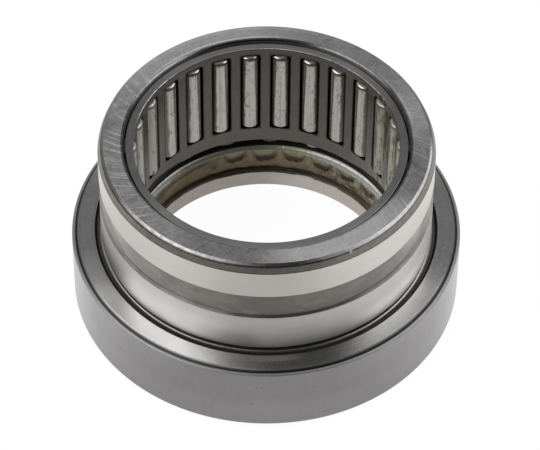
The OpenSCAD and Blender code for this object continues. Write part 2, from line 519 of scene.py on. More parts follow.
def needle_cage_sector():
    """One window of the needle cage and its border, from the shaft's side outwards and back."""
    half = math.pi / len(needles)
    edge_z = needle_cage_z1 - CAGE_EDGE
    low = needle_cage_z0 + CAGE_EDGE + SUPPORT
    high = edge_z - SUPPORT
    loop = border_loop(half, low, high)

    def border(r):
        return [(x, r, y) for x, y in loop]

    def window(r, half_width, grown):
        points = window_loop(half_width + grown, WINDOW_HALF + grown, WINDOW_CORNER + grown)
        return [(math.asin(x / r), r, WINDOW_MID + y) for x, y in points]

    r0, r1 = NEEDLE_CAGE_R0, needle_cage_r1
    lip_r = r0 + LIP_T
    rings = [
        border(r0),
        window(r0, LIP_HALF, BEVEL + SUPPORT),
        window(r0, LIP_HALF, BEVEL),
        window(r0 + BEVEL_MID, LIP_HALF, BEVEL_MID),
        window(r0 + BEVEL, LIP_HALF, 0),
        window(lip_r - LIP_BREAK, LIP_HALF, 0),
        window(lip_r, LIP_HALF, LIP_BREAK),
        window(lip_r, POCKET_HALF - POCKET_BREAK, 0),
        window(lip_r + POCKET_BREAK, POCKET_HALF, 0),
        window(r1 - BEVEL, POCKET_HALF, 0),
        window(r1 - BEVEL_MID, POCKET_HALF, BEVEL_MID),
        window(r1, POCKET_HALF, BEVEL),
        border(r1),
    ]
    top = [
        (r0, edge_z),
        (r0 + EDGE_MID, needle_cage_z1 - EDGE_MID),
        (r0 + CAGE_EDGE, needle_cage_z1),
        (r0 + CAGE_EDGE + SUPPORT, needle_cage_z1),
        (r1 - CAGE_EDGE - SUPPORT, needle_cage_z1),
        (r1 - CAGE_EDGE, needle_cage_z1),
        (r1 - EDGE_MID, needle_cage_z1 - EDGE_MID),
        (r1, edge_z),
    ]
    bottom = [(r, needle_cage_z0 + needle_cage_z1 - z) for r, z in top]
    rims = [(edge_picks(loop, high), top), (edge_picks(loop, low), bottom)]
    return to_mesh(sector(rings, rims), "needle_cage_sector")


SHEET = 0.55
BEND = 1.0
POCKET_R = BALL_R + 0.12
POCKET_BEVEL = 0.05
BALL_CAGE_R0 = 2 * ball_circle - ball_cage_r1


def ball_cage_sector():
    """One pocket of the ball cage and its border, with a bent wall on either side."""
    r0, r1 = BALL_CAGE_R0, ball_cage_r1
    inner, outer = r0 + BEND, r1 - BEND
    loop = border_loop(math.pi / len(balls), inner, outer)
    top_z = ball_cage_z1
    under_z = top_z - SHEET
    inner_bend = BEND - SHEET

    def border(z):
        return [(x, y, z) for x, y in loop]

    def pocket(z, grown):
        radius = math.sqrt(POCKET_R**2 - (z - ball_z) ** 2) + grown
        radius = min(radius, outer - ball_circle - SUPPORT)
        points = []
        # A window whose corners take up its sides is round
        for x, y in window_loop(radius, radius, radius * 0.999):
            scale = radius / math.hypot(x, y)
            px, py = ball_circle + y * scale, x * scale
            points.append((math.atan2(py, px), math.hypot(px, py), z))
        return points

    rings = [
        border(top_z),
        pocket(top_z, POCKET_BEVEL + SUPPORT),
        pocket(top_z, POCKET_BEVEL),
        pocket(top_z - POCKET_BEVEL, 0),
        pocket(under_z + POCKET_BEVEL, 0),
        pocket(under_z, POCKET_BEVEL),
        border(under_z),
    ]
    round_end = SHEET / 2
    wall_out = (
        arc(outer, top_z - BEND, BEND, 90, 0, 8)[1:]
        + arc(r1 - round_end, ball_cage_z0 + round_end, round_end, 0, -180, 8)
        + arc(outer, top_z - BEND, inner_bend, 0, 90, 5)[:-1]
    )
    wall_in = [(r0 + r1 - r, z) for r, z in wall_out]
    rims = [(edge_picks(loop, outer), wall_out), (edge_picks(loop, inner), wall_in)]
    return to_mesh(sector(rings, rims), "ball_cage_sector")


# Materials: each recipe gets its Finish and the place in mm, and gives its sockets


class Value:
    """A socket of a material's tree. Operators on it add Math nodes."""

    def __init__(self, finish, socket):
        self.finish = finish
        self.socket = socket

    def maths(self, operation, *others):
        return self.finish.add("ShaderNodeMath", [self, *others], {"operation": operation})

    def __add__(self, other):
        return self.maths("ADD", other)

    def __sub__(self, other):
        return self.maths("SUBTRACT", other)

    def __rsub__(self, other):
        return self.finish.add("ShaderNodeMath", [other, self], {"operation": "SUBTRACT"})

    def __mul__(self, other):
        return self.maths("MULTIPLY", other)

    def __truediv__(self, other):
        return self.maths("DIVIDE", other)

    def __pow__(self, other):
        return self.maths("POWER", other)

    def __abs__(self):
        return self.maths("ABSOLUTE")

    __radd__ = __add__
    __rmul__ = __mul__

    def most(self, other):
        return self.maths("MAXIMUM", other)

    def least(self, other):
        return self.maths("MINIMUM", other)

    def ramp(self, low, high):
        """A smooth step from 0 at low to 1 at high."""
        return self.finish.add(
            "ShaderNodeMapRange",
            {"Value": self, "From Min": low, "From Max": high},
            {"interpolation_type": "SMOOTHSTEP"},
        )


class Finish:
    """A node tree of a material or of the world, with what every finish here reads."""

    def __init__(self, tree):
        self.tree = tree
        tree.nodes.clear()

    def add(self, kind, sockets=None, settings=None, output=0):
        """The value that one output of a new node gives, or the node if it has none."""
        node = add_node(self.tree, kind, sockets, settings)
        return Value(self, node.outputs[output]) if node.outputs else node

    def place(self):
        """Position in mm as three values, and the distance from the axis."""
        spot = self.add("ShaderNodeTexCoord", output="Object")
        sockets = {0: spot, "Scale": 1 / MM}
        self.spot = self.add("ShaderNodeVectorMath", sockets, {"operation": "SCALE"})
        axes = (self.add("ShaderNodeSeparateXYZ", [self.spot], output=i) for i in range(3))
        self.x, self.y, self.z = axes
        self.r = (self.x * self.x + self.y * self.y) ** 0.5
        return self.x, self.y, self.z, self.r

    def vector(self, x, y, z):
        return self.add("ShaderNodeCombineXYZ", [x, y, z])

    def noise(self, scale, detail, roughness=0.5, vector=None):
        """Noise of the place in mm, or of another vector."""
        sockets = {"Vector": vector or self.spot, "Scale": scale, "Detail": detail}
        sockets["Roughness"] = roughness
        return self.add("ShaderNodeTexNoise", sockets, {"noise_dimensions": "3D"})

    def grain(self, across, along, detail, roughness=0.5):
        """Noise with one scale across the axis and another along it."""
        vector = self.vector(self.x * across, self.y * across, self.z * along)
        return self.noise(1.0, detail, roughness, vector)

    def blend(self, share, first, second):
        """A colour between two colours."""
        sockets = {"Factor": share, 6: colour(first), 7: colour(second)}
        return self.add("ShaderNodeMix", sockets, {"data_type": "RGBA"}, 2)

    def tint(self, shade, light):
        """A colour whose brightness is multiplied by a value."""
        sockets = {0: shade, "Scale": light}
        return self.add("ShaderNodeVectorMath", sockets, {"operation": "SCALE"})

    def near(self, azimuth, wide, narrow):
        """1 near a direction in degrees from the back, 0 away from it."""
        a = math.radians(azimuth)
        facing = (self.x * math.sin(a) + self.y * math.cos(a)) / self.r
        return facing.ramp(math.cos(math.radians(wide)), math.cos(math.radians(narrow)))

    def around(self, *marks):
        """The sum of marks: each a direction, where it ends and is full, and its weight."""
        return sum(self.near(*where) * weight for *where, weight in marks)

    def aside(self, first):
        """Way round from the nearest of even places, one for each needle, in mm."""
        pitch = math.tau / len(needles)
        turn = self.add("ShaderNodeMath", [self.y, self.x], {"operation": "ARCTAN2"})
        share = ((turn - first) / pitch + 0.5).maths("FRACT")
        return (share - 0.5) * pitch * self.r

    def rays(self, *kinds):
        """1 for rays of these kinds, 0 for others."""
        return sum(self.add("ShaderNodeLightPath", output=f"Is {kind} Ray") for kind in kinds)

    def bump(self, height, distance_mm):
        sockets = {"Height": height, "Strength": 1.0, "Distance": distance_mm * MM}
        return self.add("ShaderNodeBump", sockets)


def colour(value):
    """Three numbers as a colour with full opacity. A link goes through as it is."""
    return value if isinstance(value, Value) else (*value, 1.0)


def grey(level, warmth=0.0):
    """A linear grey, a little warmer or cooler."""
    return (level * (1 + warmth), level, level * (1 - 1.2 * warmth))


PLAIN_STEEL = {
    "Metallic": 1.0,
    "Anisotropic Rotation": 0.25,
    "Coat Roughness": 0.12,
    "Coat IOR": 1.45,
}


def metal(recipe):
    """The metal that a recipe describes by the sockets that differ from plain steel."""
    material = bpy.data.materials.new(recipe.__name__)
    material.use_nodes = True
    finish = Finish(material.node_tree)
    sockets = {**PLAIN_STEEL, **recipe(finish, *finish.place())}
    sockets["Base Color"] = colour(sockets["Base Color"])
    shader = finish.add("ShaderNodeBsdfPrincipled", sockets)
    finish.add("ShaderNodeOutputMaterial", [shader])
    return material


def crossed_lines(f):
    """Fine straight scratches that cross at several angles, 0 to 1."""
    layers = []
    for degrees, across, seed in ((24, 5.5, 0), (71, 4.2, 7), (-38, 6.5, 13), (112, 3.6, 21)):
        c, s = math.cos(math.radians(degrees)), math.sin(math.radians(degrees))
        along = f.x * c + f.y * s
        over = f.y * c - f.x * s
        layer = f.noise(1.0, 1.5, vector=f.vector(along * 0.22, over * across, seed))
        layers.append(layer.ramp(0.52, 0.8))
    return functools.reduce(Value.most, layers)


FACE_MID = RING_R - 2.5


def fanned_lines(f, slant, fineness):
    """Grinding lines across a flat ring from its bore to its rim, slanted by the feed."""
    turn = (f.r - FACE_MID) * slant
    c = turn.maths("COSINE") / f.r
    s = turn.maths("SINE") / f.r
    across, along = f.x * c - f.y * s, f.x * s + f.y * c
    return f.noise(1.0, 2.5, 0.6, f.vector(across * fineness, along * fineness, f.r * 0.12))


@metal
def ground_face(f, x, y, z, r):
    """Top face: neutral grey with fanned grinding lines and clouds, with painted sheen and shade
    by direction, a painted highlight band and painted shade on its inner rim, and painted shade on
    its outer edge at the back.
    """
    feed = fanned_lines(f, 0.025, 95)
    return_feed = fanned_lines(f, -0.045, 60)
    scratches = crossed_lines(f)
    clouds = f.noise(0.55, 4.0, 0.6)
    light = 0.7 + (clouds - 0.5) * 0.5 + (feed - 0.5) * 0.4
    light += (return_feed - 0.5) * 0.22 + scratches * 0.24
    # Painted sheen and shade: lighter and darker sectors by direction.
    light += f.around((152, 36, 10, 0.42), (-25, 62, 12, 0.3), (74, 14, 3, 0.16))
    light -= f.around((-168, 24, 6, 0.24), (104, 20, 5, 0.22), (30, 34, 14, 0.08))
    light -= f.around((13, 18, 8, 0.12), (-96, 52, 30, 0.07))
    # Painted sheen: the hatch of lines shows brighter in two directions.
    hatch = fanned_lines(f, 0.02, 62).ramp(0.5, 0.66) * clouds.ramp(0.3, 0.55)
    light += hatch * f.around((-96, 52, 30, 0.6), (98, 40, 20, 0.25))
    # Painted highlight: a thin bright band near the inner edge, in two directions.
    line = r.ramp(RIB_BORE + 0.5, RIB_BORE + 0.62) * r.ramp(RIB_BORE + 0.98, RIB_BORE + 0.8)
    light += line * f.around((-22, 36, 14, 0.5), (66, 18, 8, 0.2))
    # Painted shade on the inner rim, darker below the face and lighter in a few directions.
    rim = r.ramp(RIB_BORE + 0.56, RIB_BORE + 0.34)
    kept = 0.28 + f.around((38, 24, 9, 0.6), (-50, 24, 10, 0.75), (180, 72, 50, 0.3))
    kept += f.around((-160, 30, 12, 0.35), (0, 26, 14, -0.1))
    kept *= 1 - z.ramp(ring_top - 0.02, ring_top - 0.06) * 0.5
    light *= 1 - rim + rim * kept
    # Painted sheen on the outer band towards the back.
    light += r.ramp(FACE_R - 0.8, FACE_R - 0.5) * f.near(-15, 50, 25) * 0.16
    # Painted shade on the outer edge at the back.
    brink = r.ramp(FACE_R - 0.14, FACE_R - 0.02) * (y / r).ramp(-0.1, 0.3)
    return {
        "Base Color": f.tint((0.465, 0.458, 0.463), light * (1 - brink * 0.45)),
        "Roughness": 0.3 + scratches * 0.08,
        "Normal": f.bump(feed + scratches, 0.002),
    }


@metal
def ground_land(f, x, y, z, r):
    """Cylindrical seats: smooth cream-white steel, ground in very fine lines round the ring, with
    painted sheen and shade by direction and, on the lower land, a painted reflection of the
    flange.
    """
    lines = f.grain(0.04, 16, 3.0, 0.7)
    clouds = f.grain(0.12, 0.5, 2.0)
    light = 0.95 + (lines - 0.5) * 0.12 + (clouds - 0.5) * 0.07
    # Painted sheen and shade by direction; on the lower land also a painted reflection of the
    # flange.
    light += f.around((176, 34, 14, 0.06), (118, 34, 20, 0.06), (-124, 22, 10, -0.06))
    low = z.ramp(flange_top + 5, flange_top + 2.6)
    light += low * f.around((138, 50, 40, 0.32), (176, 38, 20, -0.24))
    light -= low * f.around((-152, 20, 6, 0.1), (-92, 44, 20, 0.2))
    cream = z.ramp(GROOVE_MID - 3, GROOVE_MID + 3)
    sides = f.around((176, 50, 20, 0.06), (-100, 32, 10, -0.1), (92, 20, 8, -0.07))
    light += sides * (1 - cream)
    brow = abs(z - GROOVE_LOW + 0.04).ramp(0.14, 0.06)
    shade = f.blend(cream, grey(0.57, 0.02), grey(0.56, 0.045))
    return {
        "Base Color": f.tint(shade, light * (1 - brow * 0.3)),
        "Roughness": 0.28 + (lines - 0.5) * 0.05 + (1 - cream) * 0.12,
        "Anisotropic": 0.6,
        "Normal": f.bump(lines, 0.0004),
    }


@metal
def turned_groove(f, x, y, z, r):
    """Lubrication groove: turned before hardening, brown-grey under a film of oil, painted lighter
    towards the sides and painted darker on its lower slope.
    """
    rings = f.grain(0.05, 6, 2.0)
    stains = f.noise(0.3, 3.0)
    patches = f.grain(0.22, 0.5, 4.0, 0.6).ramp(0.42, 0.62)
    # Painted light: lighter towards the sides, in place of the floor's reflection.
    side = abs(x) / r
    sides = side.ramp(0.76, 1.0) + side.ramp(0.93, 0.99) * 0.5
    # Painted shade on the lower slope, deeper towards the front left.
    slope = z.ramp(GROOVE_LOW + GROOVE_SLOPE + 0.1, GROOVE_LOW + 0.2)
    slope *= 0.25 + f.near(-126, 50, 20) * 0.3
    shade = f.blend(stains.ramp(0.3, 0.75), grey(0.15, 0.08), grey(0.175, 0.1))
    return {
        "Base Color": f.tint(shade, 0.72 + rings * 0.3 + sides * 1.3 + patches * 0.32 - slope),
        "Metallic": 0.5,
        "Roughness": 0.34,
        "Coat Weight": 0.6,
        "Anisotropic": 0.5,
        "Normal": f.bump(rings, 0.001),
    }


@metal
def worn_chamfer(f, x, y, z, r):
    """Lead-in chamfer: mottled brown-grey, with a painted highlight in places along its upper
    edge, a painted dark band at its break, and painted light and shade by direction.
    """
    mottle = f.noise(1.3, 4.0, 0.7)
    rings = f.grain(0.25, 9, 4.0, 0.7)
    # Painted highlight along the upper edge, in three directions.
    edge_highlight = f.around((-150, 34, 16, 0.9), (128, 44, 20, 1.9), (-25, 45, 20, 0.6))
    edge_highlight *= z.ramp(ring_top - 0.42, ring_top - 0.25) * (0.2 + mottle * 1.5)
    nick = f.near(150.3, 0.6, 0.2) * 0.7 * z.ramp(ring_top - 0.85, ring_top - 0.5)
    # Painted shade: a dark band at the break, none on the right.
    crease = z.ramp(BREAK_Z - 0.16, BREAK_Z - 0.04) * z.ramp(BREAK_Z + 0.22, BREAK_Z + 0.08)
    foot = z.ramp(LEAD_LOW + 0.3, LEAD_LOW + 0.1)
    # Painted light on the right and the lower left, and painted shade high up on the right towards
    # the back.
    right = f.near(120, 46, 28)
    left = f.near(-96, 44, 28)
    lower = z.ramp(BREAK_Z + 0.02, BREAK_Z - 0.14)
    light = 0.3 + mottle * 0.75 + rings * 0.65 - foot * 0.3
    light -= crease * (0.4 - right * 0.4 + left * 0.12)
    light *= 1 + right * 0.42 + left * lower * 0.3
    light -= f.near(72, 26, 12) * (1 - lower) * 0.45
    shade = f.blend((edge_highlight + nick).least(1.0), grey(0.15, 0.07), grey(0.56, 0.02))
    return {"Base Color": f.tint(shade, light), "Roughness": 0.4, "Normal": f.bump(mottle, 0.006)}


@metal
def undercut_grime_and_shade(f, x, y, z, r):
    """Undercut: black with grime and painted shade in the recess, with a painted highlight on its
    fillet.
    """
    marks = f.noise(2.0, 3.0)
    root = RING_R - UNDERCUT
    # Painted highlight on the fillet.
    fillet = r.ramp(root + 0.12, root + 0.24) * r.ramp(root + 0.62, root + 0.46)
    fillet *= z.ramp(flange_top + 0.1, flange_top - 0.05)
    shade = f.blend(fillet, grey(0.09, 0.05), grey(0.4, 0.02))
    return {"Base Color": f.tint(shade, 0.7 + marks * 0.6), "Roughness": 0.5 - fillet * 0.15}


@metal
def oily_bore(f, x, y, z, r):
    """Ribs and needle track inside the ring: grey-brown steel dulled by old oil, painted lighter
    near the top on two sides.
    """
    film = f.noise(0.7, 3.0)
    rings = f.grain(0.05, 5, 2.0)
    # Painted light near the top of the bore, on two sides.
    mouth = f.near(38, 26, 10) + f.near(-50, 22, 10)
    mouth *= z.ramp(ring_top - 0.9, ring_top - 0.6)
    shade = f.blend(mouth * 0.8, grey(0.2, 0.09), grey(0.5, 0.02))
    return {
        "Base Color": f.tint(shade, 0.6 + film * 0.6 + rings * 0.2),
        "Metallic": 0.55,
        "Roughness": 0.46,
        "Normal": f.bump(film, 0.003),
    }


@metal
def turned_face(f, x, y, z, r):
    """Flange face: fine concentric turning marks, which spread its gloss outwards; painted sheen
    and shade by direction, and painted shade at the sides and down its outer side.
    """
    rings = f.noise(1.0, 3.0, vector=f.vector(r * 5, 0, x * 0.02))
    slanted = f.vector(x * 0.9 + y * 0.5, y * 3.5 - x * 2, 0)
    scuff = f.noise(1.0, 4.0, 0.7, slanted).ramp(0.58, 0.7) * f.noise(0.25, 2.0).ramp(0.45, 0.6)
    mottle = f.noise(0.6, 4.0, 0.65)
    light = 0.79 + rings * 0.26 + mottle * 0.16 + scuff * 0.5
    # Painted shade at the sides, and painted sheen and shade by direction, with a painted light
    # patch on the inner flange at the front.
    light -= (abs(x) / r).ramp(0.86, 0.97) * 0.46
    light += f.around((-165, 18, 6, 0.6), (-136, 22, 10, 0.52), (-114, 14, 6, 0.2))
    light -= f.near(145, 30, 16) * 0.22
    light += f.near(180, 14, 4) * r.ramp(flange_r - 1.6, flange_r - 2.2) * 0.9
    edge = z.ramp(flange_top - 0.005, flange_top - 0.03)
    # Painted shade down the flange's outer side, in the narrow gap inside the cover.
    seam = z.ramp(flange_top - 0.12, flange_top - 0.28)
    return {
        "Base Color": f.tint(grey(0.52, 0.006), light * (1 - edge * 0.35) * (1 - seam * 0.8)),
        "Roughness": 0.24 + scuff * 0.15 + edge * 0.4,
        "Anisotropic": 0.85,
        "Normal": f.bump(rings, 0.0015),
    }


@metal
def drawn_sheet(f, x, y, z, r):
    """Cover: satin drawn steel with faint draw lines and a few specks; painted lighter at the
    sides and low down, its rim painted lighter at the back and darker at the sides, and painted
    shade at its inner edge.
    """
    draw = f.grain(1.6, 0.12, 3.0)
    cloud = f.noise(0.22, 4.0, 0.65)
    speck = f.noise(1.3, 1.0).ramp(0.765, 0.79)
    side = (abs(x) / r).ramp(0.84, 1.0)
    light = 0.96 + (draw - 0.5) * 0.1 + (cloud - 0.5) * 0.18
    # Painted light: a little lighter low down and towards the sides.
    light += z.ramp(ball_z + 1, ball_z - 2) * 0.1 + side * 0.28
    # Painted shade at the rim's inner edge, beside the gap to the flange.
    seam = (cover_r - r).ramp(0.42, 0.54) * z.ramp(cover_top - 0.3, cover_top - 0.1)
    rim = z.ramp(cover_top - 0.36, cover_top - 0.14) * (1 - seam)
    # Painted light and shade on the rim: lighter at the back, darker at the sides.
    light += rim * (f.near(5, 40, 20) * 0.12 - side * 0.42)
    shade = f.blend(rim, (0.305, 0.295, 0.295), grey(0.36, 0.01))
    return {
        "Base Color": f.tint(shade, (light - speck * 0.25) * (1 - seam * 0.8)),
        "Roughness": 0.32 + speck * 0.2 + rim * 0.18,
        "Coat Weight": 0.3,
        "Normal": f.bump(draw, 0.0012),
    }


@metal
def washer_steel(f, x, y, z, r):
    """Shaft washer: ground, warm under a yellowed film, with dark grease and painted shade on its
    upper edge, and painted lighter on one side.
    """
    lines = f.grain(0.05, 7, 3.0)
    film = f.grain(0.3, 0.3, 3.0).ramp(0.35, 0.7)
    drips = f.grain(2.2, 0.25, 2.0).ramp(0.6, 0.72)
    # Dark grease and painted shade on the upper edge, less of it further from the bore.
    edge = (z + (film - 0.5) * 0.16).ramp(washer_top - 0.36, washer_top - 0.2)
    inside = (r + (film - 0.5) * 0.3).ramp(WASHER_BORE + 0.45, WASHER_BORE + 0.7)
    edge *= 1 - inside * 0.75
    shade = f.blend(film * 0.6, (0.525, 0.49, 0.45), (0.51, 0.45, 0.365))
    # Painted light on one side.
    shade = f.tint(shade, 0.93 + f.near(38, 44, 10) * 0.4)
    shade = f.tint(shade, 0.88 + lines * 0.14 - drips * 0.1)
    return {
        "Base Color": f.blend(edge * 0.93, shade, (0.085, 0.065, 0.048)),
        "Metallic": 1 - edge * 0.7,
        "Roughness": 0.3 + edge * 0.2,
        "Normal": f.bump(lines, 0.001),
    }


@metal
def dark_cage(f, x, y, z, r):
    """Needle cage: dark warm satin, lighter on its top face with painted shade there towards the
    sides, grease and painted shade round its windows, a painted highlight on its inner top edge,
    and painted light and shade on its rims by direction.
    """
    cloud = f.noise(0.5, 3.0)
    scuff = f.grain(2.5, 0.6, 3.0)
    smears = f.grain(1.6, 0.35, 4.0, 0.7)
    side = abs(x) / r
    flank = side.ramp(0.5, 0.95)
    top = z.ramp(needle_cage_z1 - 0.16, needle_cage_z1 - 0.04)
    # Painted light on the upper rim towards the sides.
    upper = z.ramp(needle_high - 0.6, needle_high + 0.2) * side.ramp(0.45, 0.95)
    low = z.ramp(flange_top + 5, flange_top)
    # Painted shade on the lower rim, reaching higher towards the sides.
    foot_shade = z - needle_cage_z0 - side.ramp(0.6, 1.0) * 1.6 + (cloud - 0.5) * 0.5
    foot_shade = foot_shade.ramp(0.25, -0.05)
    # Painted highlight on the inner top edge, in two directions.
    edge = top * r.ramp(NEEDLE_CAGE_R0 + 0.16, NEEDLE_CAGE_R0 + 0.08)
    edge *= f.near(30, 40, 20) + f.near(-60, 20, 8)
    # Grease and painted shade round the windows, beside the needles.
    beside = abs(f.aside(needle_turn)) + (smears - 0.5) * 0.4
    above = abs(z - WINDOW_MID) + (smears - 0.5) * 0.6
    border = beside.ramp(1.8, 1.68) * above.ramp(WINDOW_HALF + 0.22, WINDOW_HALF + 0.1)
    grease = f.blend(smears.ramp(0.4, 0.6), (0.06, 0.05, 0.03), (0.32, 0.295, 0.24))
    # On the top face, painted shade towards the sides.
    shade = f.blend(top, grey(0.128, 0.095), f.tint(grey(0.22, 0.012), 1 - flank * 0.62))
    shade = f.blend(edge * smears.ramp(0.3, 0.62) * 0.9, shade, grey(0.62, 0.02))
    shade = f.blend(border * 0.7, shade, (0.03, 0.028, 0.018))
    shade = f.blend(f.near(84, 34, 16) * (1 - top) * 0.85, shade, grease)
    shade = f.blend(foot_shade * 0.9, shade, (0.015, 0.013, 0.01))
    light = 0.8 + cloud * 0.26 + (scuff - 0.5) * 0.2 + low * 0.05 + upper * (0.6 + cloud * 0.6)
    # Painted light and shade on the lower rim by direction.
    light *= 1 + low * f.around((-66, 34, 8, -0.3), (68, 30, 14, 0.25))
    return {
        "Base Color": f.tint(shade, light),
        "Roughness": 0.37 + foot_shade * 0.2,
        "Coat Weight": (0.4 - foot_shade * 0.4) * (1 - top * flank * 0.8),
        "Coat Roughness": 0.25,
        "Normal": f.bump(cloud, 0.003),
    }


@metal
def needle_steel(f, x, y, z, r):
    """Needles: polished steel, with old grease dried along both flanks and on the dull ends; the
    dark flanks are partly painted dark reflection, and a painted dark band runs below each upper
    rounded end.
    """
    waver = f.grain(0.8, 0.35, 4.0, 0.65)
    spatter = f.grain(1.7, 0.7, 4.0, 0.7)
    streak = f.grain(3.0, 0.05, 2.0)
    smears = f.grain(1.9, 0.3, 4.0, 0.7).ramp(0.47, 0.6)
    outer = 1 - f.near(0, 62, 44)
    # Dark flanks: partly dried grease, partly painted dark reflection, weaker on the needles at
    # the sides.
    flank = (abs(f.aside(needle_turn)) + (waver - 0.5) * 0.8).ramp(0.78, 1.1)
    flank *= 1 - outer * 0.75
    specks = spatter.ramp(0.56, 0.64) * (0.55 + outer * 0.15)
    crown = z.ramp(SHOULDER - 0.02, SHOULDER + 0.1)
    # Painted dark band below the upper rounded end.
    collar = z.ramp(SHOULDER - 0.3, SHOULDER - 0.14) * (1 - crown)
    dark = flank.most(specks).most(collar * 0.6).most(smears * f.near(84, 36, 20) * 0.85)
    half = needle_high - WINDOW_MID
    end = abs(z - WINDOW_MID).ramp(half - 0.08, half - 0.01)
    shade = f.tint(grey(0.57, 0.05), 0.9 + (streak - 0.5) * 0.65 + (waver - 0.5) * 0.3)
    shade = f.blend(f.near(74, 38, 14) * (0.4 + waver * 0.6), shade, (0.5, 0.48, 0.37))
    shade = f.blend(dark * 0.86, shade, (0.1, 0.088, 0.062))
    rough = (0.17 + dark * 0.25 + outer * 0.12).most(end * 0.5)
    return {
        "Base Color": f.blend(end * 0.8, shade, (0.4, 0.38, 0.34)),
        "Metallic": 1 - end * 0.6 - outer * 0.3,
        "Roughness": rough.most(crown * (0.27 + outer * 0.15)),
        "Coat Weight": dark * 0.35,
        "Normal": f.bump(streak + dark, 0.004),
    }


@metal
def ball_steel(f, x, y, z, r):
    """Balls: polished steel under a thin film of grease."""
    film = f.noise(0.8, 3.0)
    return {
        "Base Color": f.tint(grey(0.72, 0.02), 0.75 + film * 0.5),
        "Roughness": 0.32 + film * 0.2,
    }


BOW_LOW = 5.7
BOW_HALF = 2.2
BOW_RISE = 1.9


@metal
def greasy_sheet(f, x, y, z, r):
    """Ball cage: pressed sheet, damp and glossy on its bend with painted highlights there, painted
    lighter on one side, a painted shadow over its top, and old grease that hangs from it in bows.
    """
    blotch = f.grain(0.5, 0.9, 4.0, 0.6)
    grain = f.noise(1.6, 3.0, 0.6)
    mess = f.grain(1.1, 0.9, 5.0, 0.75)
    lot = f.grain(0.33, 0, 1.0)
    side = abs(f.aside(needle_turn + math.pi / len(needles)) + (blotch - 0.5) * 0.7)
    hang = z - (side / BOW_HALF) ** 3 * BOW_RISE - BOW_LOW
    hang += (grain - 0.5) * 0.9 + (blotch - 0.5) * 1.1 + (lot - 0.5) * 1.6
    drawn = f.near(26, 58, 38)
    crescent = hang.ramp(-0.1, 0.25) * hang.ramp(1.7, 0.7) * side.ramp(BOW_HALF, 1.0)
    crescent *= drawn * (0.35 + grain * 1.2)
    pearl = hang.ramp(0.9, 2.0) * drawn * side.ramp(BOW_HALF, 1.5)
    rib = side.ramp(1.85, 2.25) * z.ramp(BOW_LOW - 0.4, BOW_LOW + 0.8)
    rib *= drawn * (0.2 + blotch * 1.2)
    bend = (z + (blotch - 0.5) * 1.1).ramp(ball_cage_z1 - 1.0, ball_cage_z1 - 0.55)
    # Painted highlight on the bend in two directions, with a glossy coat.
    wet_and_highlight = z + (grain - 0.5) * 1.4 + f.near(44, 34, 12) * 0.3
    wet_and_highlight = wet_and_highlight.ramp(ball_cage_z1 - 0.9, ball_cage_z1 - 0.5)
    wet_and_highlight *= f.near(44, 46, 28) + f.near(-62, 24, 14)
    # Painted silvery highlight on the bend.
    silver = f.near(-62, 22, 12) + f.near(44, 30, 12) * grain.ramp(0.4, 0.56)
    silver *= (z + (blotch - 0.5) * 1.5).ramp(ball_cage_z1 - 1.2, ball_cage_z1 - 0.7)
    depth = r - BALL_CAGE_R0 - f.around((36, 44, 14, 0.13), (0, 50, 20, 0.02))
    shadow = depth.ramp(0.44, 0.58) * z.ramp(ball_z, ball_z + 1)
    streak = abs(z - ball_z - 1.6 - x * 0.08 + (grain - 0.5) * 1.2).ramp(0.6, 0.1)
    hem = z.ramp(ball_cage_z0 + 0.7, ball_cage_z0 + 0.3) * blotch.ramp(0.45, 0.55)
    patch = z.ramp(ball_z - 1.3, ball_z - 0.5) * z.ramp(ball_z + 1.1, ball_z + 0.3)
    drop = abs(z - ball_z + 0.9).ramp(0.45, 0.2)
    marks = streak * f.near(-46, 28, 14) + hem * f.near(-2, 30, 16)
    marks += patch * f.near(-58, 8, 3) + drop * f.near(-24.5, 1.8, 0.8)
    sunny = f.near(30, 60, 30)
    film = f.blend(blotch.ramp(0.35, 0.65), (0.34, 0.275, 0.185), (0.28, 0.205, 0.11))
    film = f.tint(film, 1.04 + sunny * 0.22)
    messy = f.blend(mess.ramp(0.42, 0.6), (0.1, 0.072, 0.032), (0.62, 0.58, 0.45))
    film = f.blend(f.near(55, 45, 18) * 0.75, film, messy)
    film = f.blend(marks.least(1.0) * 0.8, film, (0.085, 0.07, 0.03))
    shade = f.blend((pearl * 0.85 + rib * 0.6).least(1.0), film, (0.52, 0.5, 0.36))
    shade = f.blend(crescent.least(1.0), shade, (0.04, 0.025, 0.01))
    shade = f.blend(bend * 0.85, shade, f.blend(sunny, (0.42, 0.42, 0.4), (0.47, 0.45, 0.34)))
    shade = f.blend(wet_and_highlight * 0.85, shade, f.blend(silver, (0.8, 0.79, 0.56), (0.85, 0.85, 0.86)))
    shade = f.blend(silver * grain.ramp(0.3, 0.5) * 0.75, shade, (0.72, 0.72, 0.73))
    return {
        "Base Color": f.blend(shadow * 0.95, shade, (0.02, 0.018, 0.015)),
        "Metallic": (0.25 + bend * 0.35 - wet_and_highlight * 0.3) * (1 - shadow),
        "Roughness": 0.5 - bend * 0.12 + shadow * 0.2,
        "Specular IOR Level": 0.25,
        "Coat Weight": (wet_and_highlight + pearl * 0.2 + 0.1).least(1.0) * (1 - shadow),
        "Normal": f.bump(pearl + grain * 0.5 + rib * 0.5, 0.06),
    }


# Pieces


